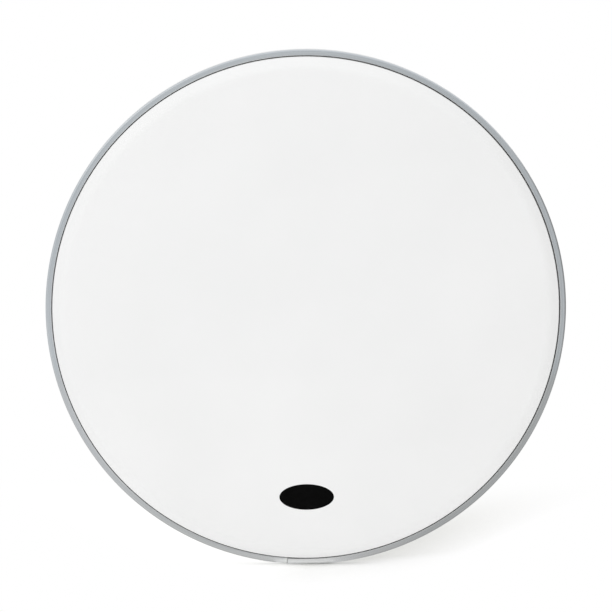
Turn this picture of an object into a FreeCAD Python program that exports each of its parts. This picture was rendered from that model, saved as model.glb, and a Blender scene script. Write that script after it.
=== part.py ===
import FreeCAD, Part
import math
import os
import Sketcher

# A bass drum head for a 22 inch drum. A white film is formed to a flat playing face, a sloped collar
# and a straight skirt. Its edge folds round the inner wall of a rolled aluminium flesh hoop and is
# locked by resin, which fills the hoop and sets through holes punched in the film. A plain oval badge
# lies on the face.
#
# Lengths are in millimetres and angles in degrees. The head stands as it does on a drum: its axis lies
# along Y, the playing face looks towards -Y, and the origin is on the axis in the plane of the hoop's
# front face. Cross-sections are drawn in the XY plane, with X as the radius, and turned about Y.

SIZES = {
    # Film: the face, the collar that bends back from it and the skirt that slips over the shell
    "shell_diameter": 558.8,
    "shell_clearance": 1.35,
    "film_thickness": 0.25,
    "collar_width": 14.8,
    "collar_slope": 42.0,
    "face_bend_radius": 12.0,
    "skirt_bend_radius": 3.0,
    "skirt_rise": 2.5,
    # Lock holes in the film's flange
    "lock_hole_count": 60,
    "lock_hole_diameter": 2.4,
    # Flesh hoop: a strip rolled to a channel that opens to the rear
    "hoop_gap": 1.0,
    "hoop_width": 6.9,
    "hoop_wall": 0.9,
    "inner_corner_radius": 1.2,
    "outer_corner_radius": 2.2,
    "inner_wall_depth": 7.1,
    "rear_lip": 0.7,
    "seam_gap": 0.35,
    "seam_angle": 4.25,
    # Splice plate that bridges the hoop's seam from inside, as wide as the flat of the crown
    "splice_length": 36.0,
    "splice_thickness": 1.0,
    "splice_flange_gap": 0.4,
    # Resin: how far its surface lies below the back of the film's fold
    "resin_recess": 0.25,
    # Badge: an oval whose centre is set in from the edge of the flat face
    "badge_length": 60.7,
    "badge_height": 28.9,
    "badge_thickness": 0.2,
    "badge_inset": 56.6,
    # How far a cut runs past what it cuts
    "cut_overrun": 1.0,
}

# Radii from the axis and depths behind the hoop's front face that several pieces share
SKIRT_RADIUS = "(Sizes.shell_diameter / 2 + Sizes.shell_clearance + Sizes.film_thickness)"
FACE_RADIUS = f"({SKIRT_RADIUS} - Sizes.collar_width)"
FOLD_RADIUS = "(Sizes.hoop_gap + Sizes.hoop_wall / 2)"
FLANGE_RADIUS = f"({SKIRT_RADIUS} + 2 * {FOLD_RADIUS})"
FLANGE_END = "(Sizes.hoop_wall + Sizes.splice_thickness + Sizes.splice_flange_gap)"
FOLD_BACK = f"(Sizes.inner_wall_depth + {FOLD_RADIUS} + Sizes.film_thickness)"
HOOP_INSIDE = f"({SKIRT_RADIUS} + Sizes.hoop_gap)"
HOOP_OUTSIDE = f"({HOOP_INSIDE} + Sizes.hoop_width)"
HOOP_DEPTH = f"({FOLD_BACK} + Sizes.rear_lip)"
RESIN_DEPTH = f"({FOLD_BACK} - Sizes.resin_recess)"
SEAM_WIDTH = f"(Sizes.seam_gap / {HOOP_OUTSIDE} * 180 / pi)"
SPLICE_INSIDE = f"({HOOP_INSIDE} + Sizes.inner_corner_radius)"
SPLICE_OUTSIDE = f"({HOOP_OUTSIDE} - Sizes.outer_corner_radius)"

# How a sketch numbers the points of an edge, its own axes and its origin
START, END, CENTRE = range(1, 4)
HORIZONTAL_AXIS, VERTICAL_AXIS = -1, -2
ORIGIN = (HORIZONTAL_AXIS, START)

RIGHT_ANGLE = math.pi / 2

document = FreeCAD.newDocument("bass_drum_head")


def make_sheet():
    """The spreadsheet of driving dimensions, one named cell each."""
    sheet = document.addObject("Spreadsheet::Sheet", "Sizes")
    for row, (alias, size) in enumerate(SIZES.items(), start=1):
        sheet.set(f"A{row}", alias)
        sheet.set(f"B{row}", str(size))
        sheet.setAlias(f"B{row}", alias)
    document.recompute()
    return sheet


def value(expression):
    """What an expression in the driving dimensions comes to."""
    return float(document.Sizes.evalExpression(expression))


def make_body(label):
    """A body that is named after the piece it models."""
    body = document.addObject("PartDesign::Body", label)
    body.Label = label
    return body


def origin_feature(body, role):
    """One of the body's own origin planes or axes."""
    return next(feature for feature in body.Origin.OriginFeatures if feature.Role == role)


def make_sketch(body, name, plane):
    """An empty sketch on one of the body's origin planes."""
    sketch = body.newObject("Sketcher::SketchObject", name)
    sketch.AttachmentSupport = [(origin_feature(body, plane), "")]
    sketch.MapMode = "FlatFace"
    return sketch


def dimension(sketch, name, expression, kind, *elements):
    """Adds a named dimension to a sketch and ties it to an expression."""
    datum = value(expression)
    if kind == "Angle":
        datum = FreeCAD.Units.Quantity(datum, FreeCAD.Units.Angle)
    number = sketch.addConstraint(Sketcher.Constraint(kind, *elements, datum))
    sketch.renameConstraint(number, name)
    sketch.setExpression("Constraints." + name, expression)


def reference(sketch, name, kind, *elements):
    """Adds a named dimension that only reads a length off a sketch."""
    number = sketch.addConstraint(Sketcher.Constraint(kind, *elements, 0))
    sketch.setDriving(number, False)
    sketch.renameConstraint(number, name)


def relate(sketch, kind, *elements):
    """Adds a geometric constraint to a sketch."""
    sketch.addConstraint(Sketcher.Constraint(kind, *elements))


def left_of(point, heading, distance):
    """The point at a distance to the left of someone who stands at a point and faces a heading."""
    return point + FreeCAD.Vector(-math.sin(heading), math.cos(heading), 0) * distance


def draw_chain(sketch, start, heading, steps, offset):
    """Draws lines and arcs that run smoothly into each other, moved to the left by an offset.

    A step is (length, 0) for a line, or (radius, turn) for an arc that turns left where turn is above
    0. Each edge comes back as its geometry number, first vertex and last vertex.
    """
    edges = []
    point = start
    for reach, turn in steps:
        if turn:
            side = math.copysign(1, turn)
            centre = left_of(point, heading, side * reach)
            leaving = heading - side * RIGHT_ANGLE
            arriving = leaving + turn
            circle = Part.Circle(centre, FreeCAD.Vector(0, 0, 1), reach - side * offset)
            arc = Part.ArcOfCircle(circle, min(leaving, arriving), max(leaving, arriving))
            number = sketch.addGeometry(arc)
            edges.append((number, START, END) if turn > 0 else (number, END, START))
            point = centre + FreeCAD.Vector(math.cos(arriving), math.sin(arriving), 0) * reach
            heading = heading + turn
        else:
            end = point + FreeCAD.Vector(math.cos(heading), math.sin(heading), 0) * reach
            line = Part.LineSegment(left_of(point, heading, offset), left_of(end, heading, offset))
            edges.append((sketch.addGeometry(line), START, END))
            point = end
    for before, after in zip(edges, edges[1:]):
        relate(sketch, "Tangent", before[0], before[2], after[0], after[1])
    return edges


def draw_sheet_section(sketch, start, heading, steps, thickness):
    """Draws the closed section of a bent sheet: a chain, its offset to the left and two square ends.

    Returns the geometry numbers of the chain and of the two ends.
    """
    near = draw_chain(sketch, start, heading, steps, 0)
    far = draw_chain(sketch, start, heading, steps, thickness)
    for (reach, turn), near_edge, far_edge in zip(steps, near, far):
        if turn:
            relate(sketch, "Coincident", near_edge[0], CENTRE, far_edge[0], CENTRE)
        else:
            relate(sketch, "Parallel", near_edge[0], far_edge[0])
    ends = []
    for near_vertex, far_vertex in ((near[0][:2], far[0][:2]), (near[-1][::2], far[-1][::2])):
        line = Part.LineSegment(sketch.getPoint(*near_vertex), sketch.getPoint(*far_vertex))
        end = sketch.addGeometry(line)
        relate(sketch, "Coincident", end, START, *near_vertex)
        relate(sketch, "Coincident", end, END, *far_vertex)
        ends.append(end)
    return [edge[0] for edge in near], ends


def revolve(body, sketch, name):
    """Turns a section about the head's axis."""
    revolution = body.newObject("PartDesign::Revolution", name)
    revolution.Profile = sketch
    revolution.ReferenceAxis = (sketch, ["V_Axis"])
    return revolution


def turn_about_axis(item, expression):
    """Turns a piece about the head's axis, clockwise as someone who faces the head sees it."""
    quarter_turn = FreeCAD.Rotation(FreeCAD.Vector(0, 0, 1), FreeCAD.Vector(1, 0, 0))
    item.Placement = FreeCAD.Placement(FreeCAD.Vector(), quarter_turn)
    item.setExpression("Placement.Rotation.Angle", expression)


def make_film(sizes):
    """The film: face, collar and skirt, then the fold round the hoop's inner wall and the flange."""
    body = make_body("film_head")
    sketch = make_sketch(body, "FilmSection", "XY_Plane")
    slope = math.radians(sizes.collar_slope)
    bends_width = sizes.face_bend_radius * math.sin(slope) + sizes.skirt_bend_radius * (1 - math.sin(slope))
    slope_length = (sizes.collar_width - bends_width) / math.cos(slope)
    bends_depth = sizes.face_bend_radius * (1 - math.cos(slope)) + sizes.skirt_bend_radius * math.cos(slope)
    face_height = sizes.skirt_rise + bends_depth + slope_length * math.sin(slope)
    steps = (
        (value(FACE_RADIUS), 0),
        (sizes.face_bend_radius, slope),
        (slope_length, 0),
        (sizes.skirt_bend_radius, RIGHT_ANGLE - slope),
        (sizes.skirt_rise + sizes.inner_wall_depth, 0),
        (value(FOLD_RADIUS), -math.pi),
        (sizes.inner_wall_depth - value(FLANGE_END), 0),
    )
    start = FreeCAD.Vector(0, -face_height, 0)
    front, (middle, edge) = draw_sheet_section(sketch, start, 0, steps, sizes.film_thickness)
    face, face_bend, collar, skirt_bend, skirt, fold, flange = front

    relate(sketch, "PointOnObject", middle, START, VERTICAL_AXIS)
    relate(sketch, "PointOnObject", middle, END, VERTICAL_AXIS)
    relate(sketch, "Horizontal", face)
    relate(sketch, "Vertical", skirt)
    relate(sketch, "Vertical", flange)
    relate(sketch, "Horizontal", edge)
    dimension(sketch, "thickness", "Sizes.film_thickness", "Distance", middle)
    dimension(sketch, "collar_slope", "Sizes.collar_slope", "Angle", collar)
    dimension(sketch, "face_bend", "Sizes.face_bend_radius", "Radius", face_bend)
    dimension(sketch, "skirt_bend", "Sizes.skirt_bend_radius", "Radius", skirt_bend)
    dimension(sketch, "fold", FOLD_RADIUS, "Radius", fold)
    dimension(sketch, "skirt_radius", SKIRT_RADIUS, "DistanceX", *ORIGIN, skirt, START)
    dimension(sketch, "face_radius", FACE_RADIUS, "DistanceX", *ORIGIN, face, END)
    dimension(sketch, "skirt_rise", "Sizes.skirt_rise", "DistanceY", skirt, START, *ORIGIN)
    dimension(sketch, "fold_depth", "Sizes.inner_wall_depth", "DistanceY", *ORIGIN, fold, CENTRE)
    dimension(sketch, "flange_end", FLANGE_END, "DistanceY", *ORIGIN, flange, END)
    reference(sketch, "face_height", "DistanceY", face, START, *ORIGIN)
    revolve(body, sketch, "FilmForm")

    holes = make_sketch(body, "LockHoleSection", "YZ_Plane")
    holes.setExpression("AttachmentOffset.Base.z", f"{FLANGE_RADIUS} + Sizes.film_thickness / 2")
    circle = holes.addGeometry(Part.Circle())
    relate(holes, "PointOnObject", circle, CENTRE, HORIZONTAL_AXIS)
    dimension(holes, "hole_depth", f"(Sizes.inner_wall_depth + {FLANGE_END}) / 2",
              "DistanceX", *ORIGIN, circle, CENTRE)
    dimension(holes, "hole_diameter", "Sizes.lock_hole_diameter", "Diameter", circle)
    punch = body.newObject("PartDesign::Pocket", "LockHole")
    punch.Profile = holes
    punch.Midplane = True
    punch.setExpression("Length", "Sizes.film_thickness + 2 * Sizes.cut_overrun")
    pattern = body.newObject("PartDesign::PolarPattern", "LockHoles")
    pattern.Originals = [punch]
    pattern.Axis = (sketch, ["V_Axis"])
    pattern.setExpression("Occurrences", "Sizes.lock_hole_count")
    body.Tip = pattern
    return body


def make_hoop(sizes):
    """The hoop: a channel with rounded front corners, ending in a butt seam."""
    body = make_body("flesh_hoop")
    sketch = make_sketch(body, "HoopSection", "XY_Plane")
    inner, outer = sizes.inner_corner_radius, sizes.outer_corner_radius
    steps = (
        (sizes.inner_wall_depth - inner, 0),
        (inner, RIGHT_ANGLE),
        (sizes.hoop_width - inner - outer, 0),
        (outer, RIGHT_ANGLE),
        (value(HOOP_DEPTH) - outer, 0),
    )
    start = FreeCAD.Vector(value(HOOP_INSIDE), sizes.inner_wall_depth, 0)
    outside, (lip, rim) = draw_sheet_section(sketch, start, -RIGHT_ANGLE, steps, sizes.hoop_wall)
    inner_wall, inner_corner, crown, outer_corner, outer_wall = outside

    relate(sketch, "Vertical", inner_wall)
    relate(sketch, "Horizontal", crown)
    relate(sketch, "Vertical", outer_wall)
    relate(sketch, "Horizontal", lip)
    relate(sketch, "Horizontal", rim)
    relate(sketch, "PointOnObject", crown, START, HORIZONTAL_AXIS)
    dimension(sketch, "wall", "Sizes.hoop_wall", "Distance", lip)
    dimension(sketch, "inner_corner", "Sizes.inner_corner_radius", "Radius", inner_corner)
    dimension(sketch, "outer_corner", "Sizes.outer_corner_radius", "Radius", outer_corner)
    dimension(sketch, "inside_radius", HOOP_INSIDE, "DistanceX", *ORIGIN, inner_wall, START)
    dimension(sketch, "outside_radius", HOOP_OUTSIDE, "DistanceX", *ORIGIN, outer_wall, END)
    dimension(sketch, "inner_wall_depth", "Sizes.inner_wall_depth",
              "DistanceY", *ORIGIN, inner_wall, START)
    dimension(sketch, "outer_wall_depth", HOOP_DEPTH, "DistanceY", *ORIGIN, outer_wall, END)
    ring = revolve(body, sketch, "HoopRing")
    ring.setExpression("Angle", f"360 - {SEAM_WIDTH}")
    turn_about_axis(body, f"90 + Sizes.seam_angle + {SEAM_WIDTH} / 2")
    return body


def make_splice(sizes):
    """The splice plate: a short curved strip that lies under the crown, across the seam."""
    body = make_body("splice_plate")
    sketch = make_sketch(body, "SpliceSection", "XY_Plane")
    steps = ((value(f"{SPLICE_OUTSIDE} - {SPLICE_INSIDE}"), 0),)
    start = FreeCAD.Vector(value(SPLICE_INSIDE), sizes.hoop_wall, 0)
    (front,), (inner_side, outer_side) = draw_sheet_section(
        sketch, start, 0, steps, sizes.splice_thickness)

    relate(sketch, "Horizontal", front)
    relate(sketch, "Vertical", inner_side)
    relate(sketch, "Vertical", outer_side)
    dimension(sketch, "thickness", "Sizes.splice_thickness", "Distance", inner_side)
    dimension(sketch, "inner_radius", SPLICE_INSIDE, "DistanceX", *ORIGIN, front, START)
    dimension(sketch, "outer_radius", SPLICE_OUTSIDE, "DistanceX", *ORIGIN, front, END)
    dimension(sketch, "seat", "Sizes.hoop_wall", "DistanceY", *ORIGIN, front, START)
    plate = revolve(body, sketch, "SplicePlate")
    plate.Midplane = True
    plate.setExpression("Angle", f"Sizes.splice_length / {SPLICE_OUTSIDE} * 180 / pi")
    turn_about_axis(body, "90 + Sizes.seam_angle")
    return body


def make_poured_ring(sizes):
    """A solid ring that runs along the middle of the hoop's wall and ends at the resin's surface."""
    body = make_body("ResinPoured")
    sketch = make_sketch(body, "ResinSection", "XY_Plane")
    inner, outer = sizes.inner_corner_radius, sizes.outer_corner_radius
    depth = value(RESIN_DEPTH)
    steps = (
        (depth - inner, 0),
        (inner, RIGHT_ANGLE),
        (sizes.hoop_width - inner - outer, 0),
        (outer, RIGHT_ANGLE),
        (depth - outer, 0),
    )
    start = FreeCAD.Vector(value(HOOP_INSIDE), depth, 0)
    edges = draw_chain(sketch, start, -RIGHT_ANGLE, steps, sizes.hoop_wall / 2)
    inner_side, inner_corner, front, outer_corner, outer_side = [edge[0] for edge in edges]
    line = Part.LineSegment(sketch.getPoint(outer_side, END), sketch.getPoint(inner_side, START))
    surface = sketch.addGeometry(line)

    relate(sketch, "Coincident", surface, START, outer_side, END)
    relate(sketch, "Coincident", surface, END, inner_side, START)
    relate(sketch, "Vertical", inner_side)
    relate(sketch, "Horizontal", front)
    relate(sketch, "Vertical", outer_side)
    relate(sketch, "Horizontal", surface)
    dimension(sketch, "inner_corner", "Sizes.inner_corner_radius - Sizes.hoop_wall / 2",
              "Radius", inner_corner)
    dimension(sketch, "outer_corner", "Sizes.outer_corner_radius - Sizes.hoop_wall / 2",
              "Radius", outer_corner)
    dimension(sketch, "inside_radius", f"{HOOP_INSIDE} + Sizes.hoop_wall / 2",
              "DistanceX", *ORIGIN, inner_side, START)
    dimension(sketch, "outside_radius", f"{HOOP_OUTSIDE} - Sizes.hoop_wall / 2",
              "DistanceX", *ORIGIN, outer_side, END)
    dimension(sketch, "front_depth", "Sizes.hoop_wall / 2", "DistanceY", *ORIGIN, front, START)
    dimension(sketch, "surface_depth", RESIN_DEPTH, "DistanceY", *ORIGIN, inner_side, START)
    revolve(body, sketch, "ResinRing")
    return body


def cut(label, base, tool):
    """One shape with another taken out of it."""
    result = document.addObject("Part::Cut", label)
    result.Label = label
    result.Base = base
    result.Tool = tool
    return result


def make_resin(sizes, hoop, film, splice):
    """The resin: poured into the channel, so it takes its form from the pieces that it sets around.

    It reaches through the film's lock holes and a little way into the hoop's seam and under its lip.
    """
    in_channel = cut("ResinInChannel", make_poured_ring(sizes), hoop)
    round_film = cut("ResinRoundFilm", in_channel, film)
    return cut("resin_fill", round_film, splice)


def make_badge():
    """The badge: a thin oval that lies on the film's face, below the middle."""
    outline = document.addObject("Part::Ellipse", "BadgeOutline")
    outline.setExpression("MajorRadius", "Sizes.badge_length / 2")
    outline.setExpression("MinorRadius", "Sizes.badge_height / 2")
    outline.Placement.Rotation = FreeCAD.Rotation(FreeCAD.Vector(0, 0, 1), FreeCAD.Vector(0, -1, 0))
    outline.setExpression("Placement.Base.y", "-FilmSection.Constraints.face_height")
    outline.setExpression("Placement.Base.z", f"Sizes.badge_inset - {FACE_RADIUS}")
    badge = document.addObject("Part::Extrusion", "badge")
    badge.Label = "badge"
    badge.Base = outline
    badge.DirMode = "Custom"
    badge.Dir = FreeCAD.Vector(0, -1, 0)
    badge.Solid = True
    badge.setExpression("LengthFwd", "Sizes.badge_thickness")
    return badge


def check(pieces):
    """Stops if a feature failed, a section is loose, or a piece isn't one sound solid."""
    for item in document.Objects:
        if "Invalid" in item.State or "Error" in item.State:
            raise RuntimeError(f"{item.Name} failed: {item.State}")
        if item.isDerivedFrom("Sketcher::SketchObject") and not item.FullyConstrained:
            raise RuntimeError(f"{item.Name} isn't fully constrained")
    for piece in pieces:
        if piece.Shape.isNull() or not piece.Shape.isValid() or len(piece.Shape.Solids) != 1:
            raise RuntimeError(f"{piece.Label} isn't one valid solid")


def main():
    sizes = make_sheet()
    film = make_film(sizes)
    hoop = make_hoop(sizes)
    splice = make_splice(sizes)
    resin = make_resin(sizes, hoop, film, splice)
    badge = make_badge()
    document.recompute()
    pieces = (film, hoop, splice, resin, badge)
    check(pieces)
    os.makedirs("parts", exist_ok=True)
    for piece in pieces:
        piece.Shape.exportStep(f"parts/{piece.Label}.step")
        print(f"{piece.Label}: {piece.Shape.Volume:.1f} mm3, {len(piece.Shape.Faces)} faces")


main()
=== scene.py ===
import math

import bmesh
import bpy
from mathutils import Matrix, Vector


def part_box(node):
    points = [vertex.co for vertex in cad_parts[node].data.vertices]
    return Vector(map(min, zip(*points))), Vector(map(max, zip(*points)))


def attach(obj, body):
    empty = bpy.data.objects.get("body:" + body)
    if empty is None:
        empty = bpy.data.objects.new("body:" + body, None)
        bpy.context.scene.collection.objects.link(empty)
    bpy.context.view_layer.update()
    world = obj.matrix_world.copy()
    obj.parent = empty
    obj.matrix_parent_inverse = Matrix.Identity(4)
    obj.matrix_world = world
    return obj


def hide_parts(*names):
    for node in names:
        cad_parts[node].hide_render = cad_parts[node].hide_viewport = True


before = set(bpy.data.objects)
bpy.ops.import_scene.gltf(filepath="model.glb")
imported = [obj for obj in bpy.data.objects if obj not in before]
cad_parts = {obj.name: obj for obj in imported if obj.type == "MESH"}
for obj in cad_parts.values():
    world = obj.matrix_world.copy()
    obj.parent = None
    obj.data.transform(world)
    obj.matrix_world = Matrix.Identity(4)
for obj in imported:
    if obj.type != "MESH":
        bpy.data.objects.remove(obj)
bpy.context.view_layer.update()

# A bass drum head that stands on its rim on a white studio floor. Its axis lies along Y, with the playing
# face towards -Y. Lengths are in metres. A section of a piece is a list of (radius, depth) points: the
# distance from the axis, and the place along Y.

film_low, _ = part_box("film_head")
hoop_low, hoop_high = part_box("flesh_hoop")
_, resin_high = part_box("resin_fill")
badge_low, badge_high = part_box("badge")

# Flesh hoop: a strip rolled to a channel that opens to the rear
HOOP_OUTSIDE = hoop_high.x
HOOP_DEPTH = hoop_high.y
HOOP_WIDTH = 0.0069
HOOP_WALL = 0.0009
INNER_CORNER = 0.0012
OUTER_CORNER = 0.0022
INNER_WALL_DEPTH = 0.0071
HOOP_INSIDE = HOOP_OUTSIDE - HOOP_WIDTH

# Seam in the hoop: its place from straight down towards the left, how far its ends stand apart, how far one
# end steps in and the other out, and how far along the strip that reaches
SEAM_ANGLE = math.radians(4.25)
SEAM_GAP = 0.00035
SEAM_STEP = 0.00035
SEAM_STEP_REACH = 0.012

# Film: face, collar, skirt, the fold round the hoop's inner wall and the flange in the resin
FILM_THICKNESS = 0.00025
FACE_DEPTH = film_low.y
HOOP_GAP = 0.001
COLLAR_WIDTH = 0.0148
COLLAR_SLOPE = math.radians(42)
FACE_BEND = 0.012
SKIRT_BEND = 0.003
SKIRT_RISE = 0.0025
FLANGE_END = 0.0023
SKIRT_RADIUS = HOOP_INSIDE - HOOP_GAP
FACE_RADIUS = SKIRT_RADIUS - COLLAR_WIDTH
FOLD_RADIUS = HOOP_GAP + HOOP_WALL / 2
FLANGE_RADIUS = SKIRT_RADIUS + 2 * FOLD_RADIUS
FOLD_CENTRE = (SKIRT_RADIUS + FOLD_RADIUS, INNER_WALL_DEPTH)

# How far the film sits out of the middle of the hoop, and to where from straight down towards the left
FILM_SHIFT = 0.0003
FILM_SHIFT_ANGLE = math.radians(135)

# Resin: its free surface climbs a little where it meets the hoop's wall
RESIN_DEPTH = resin_high.y
MENISCUS_RISE = 0.0003
MENISCUS_REACH = 0.0005
SURFACE_STEPS = 12

# Badge: a thin oval with a softly rounded edge
BADGE_LENGTH = badge_high.x - badge_low.x
BADGE_HEIGHT = badge_high.z - badge_low.z
BADGE_CENTRE = (badge_low + badge_high) / 2
BADGE_EDGE = 0.00012
BADGE_SEGMENTS = 160
BADGE_RINGS = 6

# Fineness of the meshes
ARC_STEP = math.radians(6)
SEGMENTS = 720
FACE_RINGS = 12
SHARP_EDGE = math.radians(35)
WELD_DISTANCE = 0.000001

# Finish of the hoop: a painted reflection and a dark cut, by the way from the seam along the strip, and
# painted shade on the inner wall, in the gap to the film, by the way from its end round the section. Each
# pair says where it starts and is in full.
SEAM_REFLECTION = (0.006, 0.002)
SEAM_CUT = (0.001, 0.0007)
GAP_SHADE = (0.0072, 0.0063)

# Relief of the finishes, and the part of a noise's range over which they change
GRAIN_DEPTH = 0.00001
DRAWN_LINE_DEPTH = 0.00002
RESIN_WAVE_DEPTH = 0.00015
NOISE_LOW = 0.3
NOISE_HIGH = 0.7

# Camera: where it stands about the head, and where it looks
CAMERA_DISTANCE = 5
CAMERA_AZIMUTH = math.radians(-0.85)
CAMERA_ELEVATION = math.radians(8.5)
CAMERA_ROLL = math.radians(0.15)
CAMERA_TARGET = Vector((0, 0, 0.0035))
VIEW_WIDTH = 0.679
SENSOR_WIDTH = 36

# Light: even soft light, a large key lamp overhead and a small one close by on the left
WHITE = (1, 1, 1, 1)
SOFT_LIGHT = 0.773
KEY_LAMP = Vector((-0.195, -0.727, 2.067))
KEY_SIZE = 1.8
KEY_POWER = 8.6
NEAR_LAMP = Vector((-0.706, -0.408, 0.38))
NEAR_SIZE = 0.6
NEAR_POWER = 0.3

# Floor: its paper, which looks a little warm, and how much it glows: a painted glow that adds to the light
# it bounces, and one where it is shown
FLOOR_HEIGHT = hoop_low.z
FLOOR_SIZE = 40
PAPER = (0.94, 0.94, 0.94)
PAPER_SHOWN = (0.94, 0.94, 0.915)
BOUNCE_GLOW = 0.145
SHOWN_GLOW = 0.012

# Shadow on the floor: each fade says from where to where it comes up, beside, behind and before the head,
# and where a painted glow lifts its left. A lean says how far that place moves for each metre to the rear
# or side.
# The front's stops are shares of the way over its fade, with how much of the shadow shows there.
SIDE_FADE = (0.15, 0.06)
SIDE_LEAN = 0.5
REAR_FADE = (0.5, 0.08)
FRONT_FADE = (-0.11, 0)
FRONT_LEAN = 0.42
FRONT_STOPS = ((0, 0.0), (0.6, 0.26), (0.73, 0.33), (1, 1.0))
LEFT_FADE = (0.02, -0.07)
LEFT_LEAN = 0.3
LEFT_GLOW = 0.36

# Cards that show in reflections alone. A stop is a share of the way across, with its grey or colour.
CARD_SIDE = 0.8
CARD_FRONT = -0.4
CARD_DEPTH = 1.4
CARD_HEIGHT = 0.72
LEFT_CARD_STOPS = ((0, (0.62, 0.65, 0.68)), (1, (0.62, 0.65, 0.68)))
RIGHT_CARD_STOPS = ((0, 0.26), (1, 0.26))
FRONT_CARD_WIDTH = 1.8
FRONT_CARD_STOPS = ((0, (0.73, 0.78, 0.815)), (1, (0.4, 0.418, 0.432)))
TOP_CARD_WIDTH = 3.2
TOP_CARD_FRONT = -1.6
TOP_CARD_DEPTH = 2.2
TOP_CARD_HEIGHT = 1.19
TOP_CARD_STOPS = ((0, (0.74, 0.77, 0.81)), (1, (0.66, 0.7, 0.74)))
LOW_CARD_WIDTH = 1
LOW_CARD_FRONT = -0.03
LOW_CARD_HEIGHT = 0.21
LOW_CARD_STOPS = (
    (0.25, (0.635, 0.65, 0.665)),
    (0.36, (0.565, 0.575, 0.575)),
    (0.4, (0.56, 0.57, 0.57)),
    (0.5, 0.72),
    (0.55, 0.6),
    (0.64, (0.44, 0.45, 0.45)),
    (0.75, (0.47, 0.48, 0.48)),
)
FLOOR_CARD_DEPTH = 0.35
FLOOR_CARD_HEIGHT = 0.001
LEFT_FLOOR_END = -0.035
LEFT_FLOOR_STOPS = ((0, 0.62), (1, 0.6))
RIGHT_FLOOR_START = 0.03
RIGHT_FLOOR_STOPS = ((0, 0.72), (0.05, 0.5), (0.2, 0.36))


# Sections

def arc(centre, radius, start, end):
    """Points along an arc in section. Angles count from straight out, towards the rear."""
    count = math.ceil(abs(end - start) / ARC_STEP)
    angles = [start + (end - start) * step / count for step in range(count + 1)]
    return [(centre[0] + radius * math.cos(angle), centre[1] + radius * math.sin(angle)) for angle in angles]


def film_side(offset):
    """One side of the film, from the middle of the face to the flange's end, at an offset into the film."""
    forward = -math.pi / 2
    sloped = forward + COLLAR_SLOPE
    face = [(FACE_RADIUS * ring / FACE_RINGS, FACE_DEPTH + offset) for ring in range(FACE_RINGS)]
    face_bend = arc((FACE_RADIUS, FACE_DEPTH + FACE_BEND), FACE_BEND - offset, forward, sloped)
    skirt_bend = arc((SKIRT_RADIUS - SKIRT_BEND, -SKIRT_RISE), SKIRT_BEND - offset, sloped, 0)
    fold = arc(FOLD_CENTRE, FOLD_RADIUS + offset, math.pi, 0)
    return face + face_bend + skirt_bend + fold + [(FLANGE_RADIUS + offset, FLANGE_END)]


def film_section():
    """The film: its front and its back, from the axis to the flange and back to the axis."""
    return film_side(0) + film_side(FILM_THICKNESS)[::-1]


def hoop_side(offset):
    """One side of the hoop's strip, from its inner wall's end to its rear rim, at an offset into it."""
    inner = arc((HOOP_INSIDE + INNER_CORNER, INNER_CORNER), INNER_CORNER - offset, math.pi, 1.5 * math.pi)
    outer = arc((HOOP_OUTSIDE - OUTER_CORNER, OUTER_CORNER), OUTER_CORNER - offset, -math.pi / 2, 0)
    return [(HOOP_INSIDE + offset, INNER_WALL_DEPTH)] + inner + outer + [(HOOP_OUTSIDE - offset, HOOP_DEPTH)]


def hoop_section():
    """The hoop: the outside of the channel and then its inside."""
    return hoop_side(0) + hoop_side(HOOP_WALL)[::-1]


def resin_section():
    """The resin: the inside of the channel, less the film's fold and flange, with a free rear surface."""
    outer_wall = HOOP_OUTSIDE - HOOP_WALL
    inner_wall = HOOP_INSIDE + HOOP_WALL
    fold_back = FOLD_RADIUS + FILM_THICKNESS
    climb = math.asin((RESIN_DEPTH - INNER_WALL_DEPTH) / fold_back)
    contact = FOLD_CENTRE[0] + fold_back * math.cos(climb)
    round_film = (
        arc(FOLD_CENTRE, FOLD_RADIUS, math.pi / 2, 0)
        + [(FLANGE_RADIUS, FLANGE_END), (FLANGE_RADIUS + FILM_THICKNESS, FLANGE_END)]
        + arc(FOLD_CENTRE, fold_back, 0, climb)
    )
    surface = []
    for step in range(1, SURFACE_STEPS + 1):
        radius = contact + (outer_wall - contact) * step / SURFACE_STEPS
        rise = MENISCUS_RISE * math.exp((radius - outer_wall) / MENISCUS_REACH)
        surface.append((radius, RESIN_DEPTH + rise))
    channel = (
        arc((HOOP_OUTSIDE - OUTER_CORNER, OUTER_CORNER), OUTER_CORNER - HOOP_WALL, 0, -math.pi / 2)
        + arc((HOOP_INSIDE + INNER_CORNER, INNER_CORNER), INNER_CORNER - HOOP_WALL, -math.pi / 2, -math.pi)
        + [(inner_wall, INNER_WALL_DEPTH), (FOLD_CENTRE[0], INNER_WALL_DEPTH)]
    )
    return (round_film + surface + channel)[::-1]


# Meshes

def add_piece(name, vertices, faces, places):
    """An object of plain lists, welded and smooth but for its sharp edges, with a UV map in metres."""
    mesh = bpy.data.meshes.new(name)
    mesh.from_pydata(vertices, [], faces)
    layer = mesh.uv_layers.new(name="Surface")
    layer.uv.foreach_set("vector", [number for place in places for spot in place for number in spot])
    work = bmesh.new()
    work.from_mesh(mesh)
    bmesh.ops.remove_doubles(work, verts=work.verts, dist=WELD_DISTANCE)
    wires = [edge for edge in work.edges if not edge.link_faces]
    bmesh.ops.delete(work, geom=wires, context="EDGES")
    work.to_mesh(mesh)
    work.free()
    mesh.shade_smooth()
    mesh.set_sharp_from_angle(angle=SHARP_EDGE)
    piece = bpy.data.objects.new(name, mesh)
    bpy.context.scene.collection.objects.link(piece)
    return piece


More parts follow.
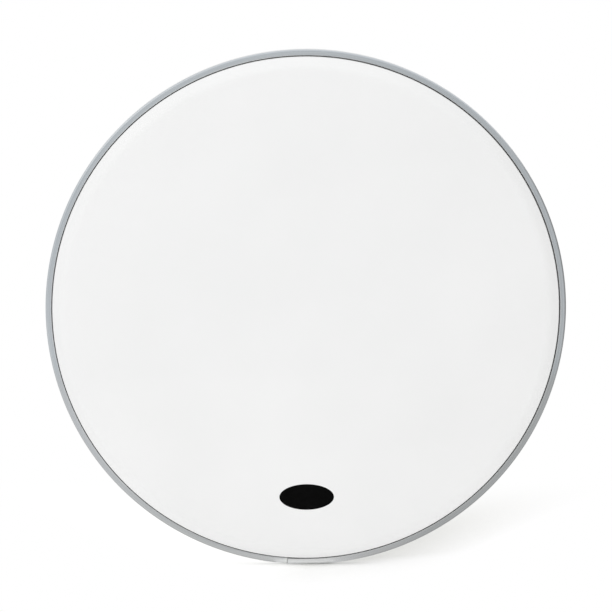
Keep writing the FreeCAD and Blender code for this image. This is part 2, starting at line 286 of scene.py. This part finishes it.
def sweep(name, section, start=0.0, gap=0.0, shift=None):
    """Sweeps a closed section round the head's axis, from one side of a gap to the other.

    The start counts from straight down, to the left. Without a gap the ends are welded to a ring. The
    shift gives how far a radius grows at a way along the strip.
    """
    count = len(section)
    reach = max(radius for radius, _ in section)
    length = 2 * math.pi * reach - gap
    alongs = [length * column / SEGMENTS for column in range(SEGMENTS + 1)]
    girths = [0.0]
    for before, after in zip(section, section[1:] + section[:1]):
        girths.append(girths[-1] + math.dist(before, after))

    vertices = []
    for along in alongs:
        angle = start + (gap / 2 + along) / reach
        for radius, depth in section:
            far = radius + (shift(along, length, radius) if shift else 0)
            vertices.append((-far * math.sin(angle), depth, -far * math.cos(angle)))
    faces = []
    places = []
    for column in range(SEGMENTS):
        here = column * count
        there = here + count
        along, beyond = alongs[column:column + 2]
        for point in range(count):
            after = (point + 1) % count
            near, far = girths[point:point + 2]
            faces.append((here + point, there + point, there + after, here + after))
            places.append(((along, near), (beyond, near), (beyond, far), (along, far)))
    if gap:
        ends = list(range(count)), list(range(SEGMENTS * count, (SEGMENTS + 1) * count))[::-1]
        for end in ends:
            faces.append(end)
            places.append([(alongs[corner // count], girths[corner % count]) for corner in end])
    return add_piece(name, vertices, faces, places)


def film_shift(along, length, radius):
    """How far the film's radius grows: all of it at the skirt, nothing on the axis and at the flange."""
    turn = 2 * math.pi * along / length - FILM_SHIFT_ANGLE
    share = min(radius / SKIRT_RADIUS, (FLANGE_RADIUS - radius) / (FLANGE_RADIUS - SKIRT_RADIUS))
    return FILM_SHIFT * math.cos(turn) * max(share, 0)


def seam_shift(along, length, _radius):
    """How far the hoop's radius grows along its strip, since its two ends don't quite line up."""
    left = math.exp(-((along / SEAM_STEP_REACH) ** 2))
    right = math.exp(-(((length - along) / SEAM_STEP_REACH) ** 2))
    return SEAM_STEP * (right - left)


def make_badge():
    """An oval plate: rings of points from the middle of its front, round its edge, to the film."""
    front, back = badge_low.y, badge_high.y
    half_length, half_height = BADGE_LENGTH / 2, BADGE_HEIGHT / 2
    flat = [(half_height * (1 - ring / BADGE_RINGS), front) for ring in range(BADGE_RINGS)]
    edge = arc((-BADGE_EDGE, front + BADGE_EDGE), BADGE_EDGE, -math.pi / 2, 0)
    insets = flat + [(-radius, depth) for radius, depth in edge] + [(0, back), (half_height, back)]
    vertices = []
    for inset, depth in insets:
        share = 1 - inset / half_height
        for segment in range(BADGE_SEGMENTS + 1):
            angle = 2 * math.pi * segment / BADGE_SEGMENTS
            across = half_length * share * math.cos(angle)
            up = half_height * share * math.sin(angle)
            vertices.append((BADGE_CENTRE.x + across, depth, BADGE_CENTRE.z + up))
    faces = []
    places = []
    row = BADGE_SEGMENTS + 1
    for ring in range(len(insets) - 1):
        for segment in range(BADGE_SEGMENTS):
            corner = ring * row + segment
            face = (corner, corner + row, corner + row + 1, corner + 1)
            faces.append(face)
            places.append([(vertices[at][0], vertices[at][2]) for at in face])
    return add_piece("oval_badge", vertices, faces, places)


# Materials

class Graph:
    """The nodes of a material or of the world, added one call at a time."""

    def __init__(self, tree):
        self.tree = tree
        tree.nodes.clear()

    def add(self, kind, sockets=None, **settings):
        """Adds a node with its settings. A socket gets a plain value or another node's output."""
        node = self.tree.nodes.new("ShaderNode" + kind)
        for name, setting in settings.items():
            setattr(node, name, setting)
        for name, given in (sockets or {}).items():
            if isinstance(given, bpy.types.NodeSocket):
                self.tree.links.new(given, node.inputs[name])
            else:
                node.inputs[name].default_value = given
        return node.outputs

    def calculate(self, operation, *terms):
        """The result of one step of arithmetic."""
        return self.add("Math", dict(enumerate(terms)), operation=operation)["Value"]

    def fade(self, value, start, end, low=0.0, high=1.0, curve="LINEAR"):
        """Runs from low to high while a value runs from the start to the end."""
        sockets = {"Value": value, "From Min": start, "From Max": end, "To Min": low, "To Max": high}
        return self.add("MapRange", sockets, interpolation_type=curve)["Result"]

    def tinted(self, colour, value, start, end, tint):
        """A colour that turns to a tint while a value runs from the start to the end."""
        share = self.fade(value, start, end)
        return self.add("Mix", {"Factor": share, "A": colour, "B": (*tint, 1)}, data_type="RGBA")["Result"]

    def ramp(self, factor, *stops):
        """Colours for a factor, from stops of (place, grey or colour)."""
        node = self.tree.nodes.new("ShaderNodeValToRGB")
        self.tree.links.new(factor, node.inputs["Fac"])
        elements = node.color_ramp.elements
        while len(elements) < len(stops):
            elements.new(1)
        for element, (place, colour) in zip(elements, stops):
            element.position = place
            element.color = (*colour, 1) if isinstance(colour, tuple) else (colour, colour, colour, 1)
        return node.outputs["Color"]

    def spread(self, noise, low, high):
        """Runs from one grey or colour to another over the middle of a noise's range."""
        return self.ramp(noise, (NOISE_LOW, low), (NOISE_HIGH, high))

    def noise(self, vector, scale, detail=2, stretch=(1, 1, 1)):
        """Noise with a scale in features to a metre, which the stretch multiplies along each axis."""
        scales = tuple(scale * factor for factor in stretch)
        scaled = self.add("Mapping", {"Vector": vector, "Scale": scales})
        return self.add("TexNoise", {"Vector": scaled["Vector"], "Scale": 1, "Detail": detail})["Fac"]

    def bump(self, height, distance):
        """A normal from a height."""
        return self.add("Bump", {"Height": height, "Distance": distance, "Strength": 1})["Normal"]

    def surface(self, shader):
        """Sends a shader to the output."""
        self.add("OutputMaterial", {"Surface": shader})


def new_material(name):
    """A material and the graph of its nodes, still empty."""
    material = bpy.data.materials.new(name)
    material.use_nodes = True
    return material, Graph(material.node_tree)


def film_material():
    """Smooth white polyester: almost even, with a faint cloudiness and a fine satin grain."""
    material, graph = new_material("satin_white_film")
    place = graph.add("TexCoord")["Object"]
    clouds = graph.noise(place, scale=9)
    grain = graph.noise(place, scale=1800)
    shader = graph.add("BsdfPrincipled", {
        "Base Color": graph.spread(clouds, (0.925, 0.926, 0.922), (0.945, 0.945, 0.942)),
        "Roughness": graph.ramp(grain, (0.2, 0.4), (0.8, 0.52)),
        "Normal": graph.bump(grain, GRAIN_DEPTH),
    })
    graph.surface(shader["BSDF"])
    return material


def hoop_material():
    """Rolled aluminium: drawn lines round the hoop, a painted reflection and a dark cut at its seam.

    The inner wall, in the gap to the film, is darkened with painted shade.
    """
    material, graph = new_material("rolled_aluminium")
    place = graph.add("UVMap", uv_map="Surface")["UV"]
    along, girth, _ = graph.add("SeparateXYZ", {"Vector": place})
    broad = graph.noise(place, scale=1, detail=3, stretch=(3, 700, 1))
    fine = graph.noise(place, scale=1, stretch=(14, 5200, 1))
    dark, middle, light = (0.66, 0.67, 0.68), (0.74, 0.75, 0.755), (0.82, 0.825, 0.82)
    colour = graph.ramp(broad, (NOISE_LOW, dark), (0.5, middle), (NOISE_HIGH, light))
    # Painted reflection: the strip turns lighter and a little green close to the seam.
    colour = graph.tinted(colour, along, *SEAM_REFLECTION, tint=(0.79, 0.8, 0.79))
    colour = graph.tinted(colour, along, *SEAM_CUT, tint=(0.52, 0.53, 0.53))
    # Painted shade: the inner wall turns dark, as the gap to the film lies in shade.
    colour = graph.tinted(colour, girth, *GAP_SHADE, tint=(0.2, 0.205, 0.21))
    shader = graph.add("BsdfPrincipled", {
        "Base Color": colour,
        "Metallic": 1,
        "Roughness": graph.spread(fine, 0.26, 0.42),
        "Anisotropic": 0.5,
        "Tangent": graph.add("Tangent", direction_type="UV_MAP", uv_map="Surface")["Tangent"],
        "Normal": graph.bump(fine, DRAWN_LINE_DEPTH),
    })
    graph.surface(shader["BSDF"])
    return material


def resin_material():
    """Poured resin: milky grey, with clouds, small bubbles and a soft gloss."""
    material, graph = new_material("cast_resin")
    place = graph.add("TexCoord")["Object"]
    clouds = graph.noise(place, scale=120, detail=4)
    bubbles = graph.add("TexVoronoi", {"Vector": place, "Scale": 700})["Distance"]
    specks = graph.ramp(bubbles, (0.08, 0.55), (0.2, 1.0))
    tint = graph.spread(clouds, (0.44, 0.44, 0.42), (0.56, 0.56, 0.54))
    colour = graph.add("Mix", {"Factor": 1, "A": tint, "B": specks}, data_type="RGBA", blend_type="MULTIPLY")
    shader = graph.add("BsdfPrincipled", {
        "Base Color": colour["Result"],
        "Roughness": graph.spread(clouds, 0.22, 0.36),
        "Normal": graph.bump(clouds, RESIN_WAVE_DEPTH),
    })
    graph.surface(shader["BSDF"])
    return material


def badge_material():
    """Black decal: a soft gloss with a fine grain."""
    material, graph = new_material("black_decal")
    place = graph.add("TexCoord")["Object"]
    clouds = graph.noise(place, scale=160, detail=3)
    grain = graph.noise(place, scale=2600)
    shader = graph.add("BsdfPrincipled", {
        "Base Color": graph.spread(clouds, 0.001, 0.0025),
        "Roughness": graph.spread(grain, 0.34, 0.46),
        "Specular IOR Level": 0.04,
        "Normal": graph.bump(grain, GRAIN_DEPTH),
    })
    graph.surface(shader["BSDF"])
    return material


def splice_material():
    """Plain mill aluminium with a fine grain along the plate."""
    material, graph = new_material("mill_aluminium")
    place = graph.add("TexCoord")["Object"]
    grain = graph.noise(place, scale=900, stretch=(0.1, 1, 1))
    shader = graph.add("BsdfPrincipled", {
        "Base Color": graph.spread(grain, 0.5, 0.6),
        "Metallic": 1,
        "Roughness": graph.spread(grain, 0.3, 0.45),
    })
    graph.surface(shader["BSDF"])
    return material


# Studio

def shown(graph):
    """1 for rays from the camera, in reflections and through glass, which all see the white backdrop."""
    path = graph.add("LightPath")
    either = graph.calculate("MAXIMUM", path["Is Camera Ray"], path["Is Glossy Ray"])
    return graph.calculate("MAXIMUM", either, path["Is Transmission Ray"])


def floor_material():
    """White paper that keeps the head's shadow and runs out to a pure white backdrop.

    Where it is shown, the shadow is trimmed: it ends beside, behind and before the head, and a painted
    glow lifts its left. All over, a painted glow adds to the light that it bounces.
    """
    material, graph = new_material("white_floor")
    seen = shown(graph)
    across, depth, _ = graph.add("SeparateXYZ", {"Vector": graph.add("TexCoord")["Object"]})
    sideways = graph.calculate("ABSOLUTE", across)
    beside = graph.fade(graph.calculate("MULTIPLY_ADD", depth, -SIDE_LEAN, sideways), *SIDE_FADE)
    behind = graph.fade(depth, *REAR_FADE, curve="SMOOTHSTEP")
    forwards = graph.fade(graph.calculate("MULTIPLY_ADD", sideways, -FRONT_LEAN, depth), *FRONT_FADE)
    before = graph.ramp(forwards, *FRONT_STOPS)
    near = graph.calculate("MULTIPLY", graph.calculate("MULTIPLY", beside, behind), before)
    white = graph.calculate("MULTIPLY", graph.calculate("SUBTRACT", 1, near), seen)

    # Painted glow: the floor gives off light, most on its left where it is shown, and evenly for its bounce.
    leaning = graph.calculate("MULTIPLY_ADD", depth, -LEFT_LEAN, across)
    left = graph.fade(leaning, *LEFT_FADE, high=LEFT_GLOW, curve="SMOOTHSTEP")
    even = graph.fade(seen, 0, 1, low=BOUNCE_GLOW, high=SHOWN_GLOW)
    glow_strength = graph.calculate("ADD", graph.calculate("MULTIPLY", left, seen), even)

    paper = graph.add("BsdfDiffuse", {"Color": graph.tinted((*PAPER, 1), seen, 0, 1, PAPER_SHOWN)})["BSDF"]
    glow = graph.add("Emission", {"Color": WHITE, "Strength": glow_strength})["Emission"]
    lit = graph.add("AddShader", {0: paper, 1: glow})["Shader"]
    backdrop = graph.add("Emission", {"Color": WHITE, "Strength": 1})["Emission"]
    graph.surface(graph.add("MixShader", {0: white, 1: lit, 2: backdrop})["Shader"])
    return material


def add_sheet(name, corner, across, up, material):
    """A flat sheet of the stage, from a corner and two sides. Its height counts from the floor."""
    corner, across, up = Vector(corner), Vector(across), Vector(up)
    mesh = bpy.data.meshes.new(name)
    mesh.from_pydata([corner, corner + across, corner + across + up, corner + up], [], [(0, 1, 2, 3)])
    mesh.uv_layers.new(name="Surface").uv.foreach_set("vector", [0, 0, 1, 0, 1, 1, 0, 1])
    mesh.materials.append(material)
    sheet = bpy.data.objects.new(name, mesh)
    sheet.location.z = FLOOR_HEIGHT
    bpy.context.scene.collection.objects.link(sheet)
    return sheet


def add_card(name, corner, across, up, stops):
    """A card that shows in reflections alone, with stops of colour from one side to the other."""
    material, graph = new_material(name)
    share = graph.add("SeparateXYZ", {"Vector": graph.add("UVMap", uv_map="Surface")["UV"]})["X"]
    graph.surface(graph.add("Emission", {"Color": graph.ramp(share, *stops), "Strength": 1})["Emission"])
    card = add_sheet(name, corner, across, up, material)
    card.visible_camera = False
    card.visible_diffuse = False
    card.visible_shadow = False


def add_stage():
    """The floor, and cards before the head, on the floor beside it, at its sides and above it."""
    half = FLOOR_SIZE / 2
    add_sheet("floor", (-half, -half, 0), (FLOOR_SIZE, 0, 0), (0, FLOOR_SIZE, 0), floor_material())

    wall = (0, 0, CARD_HEIGHT)
    front = (-FRONT_CARD_WIDTH / 2, CARD_FRONT, 0)
    add_card("front_card", front, (FRONT_CARD_WIDTH, 0, 0), wall, FRONT_CARD_STOPS)
    low = (-LOW_CARD_WIDTH / 2, LOW_CARD_FRONT, 0)
    add_card("low_card", low, (LOW_CARD_WIDTH, 0, 0), (0, 0, LOW_CARD_HEIGHT), LOW_CARD_STOPS)

    to_rear = (0, FLOOR_CARD_DEPTH, 0)
    left = (-CARD_SIDE, LOW_CARD_FRONT, FLOOR_CARD_HEIGHT)
    add_card("left_floor_card", left, (CARD_SIDE + LEFT_FLOOR_END, 0, 0), to_rear, LEFT_FLOOR_STOPS)
    right = (RIGHT_FLOOR_START, LOW_CARD_FRONT, FLOOR_CARD_HEIGHT)
    add_card("right_floor_card", right, (CARD_SIDE - RIGHT_FLOOR_START, 0, 0), to_rear, RIGHT_FLOOR_STOPS)

    add_card("left_card", (-CARD_SIDE, CARD_FRONT, 0), (0, CARD_DEPTH, 0), wall, LEFT_CARD_STOPS)
    add_card("right_card", (CARD_SIDE, CARD_FRONT, 0), (0, CARD_DEPTH, 0), wall, RIGHT_CARD_STOPS)
    top = (-TOP_CARD_WIDTH / 2, TOP_CARD_FRONT, TOP_CARD_HEIGHT)
    add_card("top_card", top, (TOP_CARD_WIDTH, 0, 0), (0, TOP_CARD_DEPTH, 0), TOP_CARD_STOPS)


def light_world():
    """Soft even light, behind a backdrop that looks white."""
    world = bpy.data.worlds.new("studio")
    world.use_nodes = True
    bpy.context.scene.world = world
    graph = Graph(world.node_tree)
    soft = graph.add("Background", {"Color": WHITE, "Strength": SOFT_LIGHT})["Background"]
    white = graph.add("Background", {"Color": WHITE, "Strength": 1})["Background"]
    mixed = graph.add("MixShader", {0: shown(graph), 1: soft, 2: white})["Shader"]
    graph.add("OutputWorld", {"Surface": mixed})


def add_lamp(name, place, size, power):
    """A square soft lamp that faces the middle of the head."""
    data = bpy.data.lights.new(name, "AREA")
    data.size = size
    data.energy = power
    lamp = bpy.data.objects.new(name, data)
    lamp.location = place
    lamp.rotation_euler = (-place).to_track_quat("-Z", "Y").to_euler()
    lamp.visible_camera = False
    bpy.context.scene.collection.objects.link(lamp)


def add_camera():
    """The camera, a little above the head and to its left, which looks close to the head's middle."""
    data = bpy.data.cameras.new("camera")
    data.sensor_width = SENSOR_WIDTH
    data.lens = SENSOR_WIDTH * CAMERA_DISTANCE / VIEW_WIDTH
    camera = bpy.data.objects.new("camera", data)
    level = math.cos(CAMERA_ELEVATION)
    sideways, forwards = math.sin(CAMERA_AZIMUTH) * level, math.cos(CAMERA_AZIMUTH) * level
    back = Vector((sideways, -forwards, math.sin(CAMERA_ELEVATION)))
    turned = (-back).to_track_quat("-Z", "Y").to_matrix().to_4x4() @ Matrix.Rotation(-CAMERA_ROLL, 4, "Z")
    camera.matrix_world = Matrix.Translation(CAMERA_TARGET + back * CAMERA_DISTANCE) @ turned
    bpy.context.scene.collection.objects.link(camera)
    bpy.context.scene.camera = camera


# The head

def dress(piece, node, material):
    """Puts a piece in a node's place, with its finish."""
    piece.data.materials.append(material)
    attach(piece, "root")
    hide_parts(node)


dress(sweep("film", film_section(), shift=film_shift), "film_head", film_material())
dress(sweep("hoop", hoop_section(), SEAM_ANGLE, SEAM_GAP, seam_shift), "flesh_hoop", hoop_material())
dress(sweep("resin", resin_section()), "resin_fill", resin_material())
dress(make_badge(), "badge", badge_material())
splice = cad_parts["splice_plate"]
splice.data.materials.clear()
splice.data.materials.append(splice_material())

add_stage()
light_world()
add_lamp("key_lamp", KEY_LAMP, KEY_SIZE, KEY_POWER)
add_lamp("near_lamp", NEAR_LAMP, NEAR_SIZE, NEAR_POWER)
add_camera()
bpy.context.scene.view_settings.view_transform = "Standard"
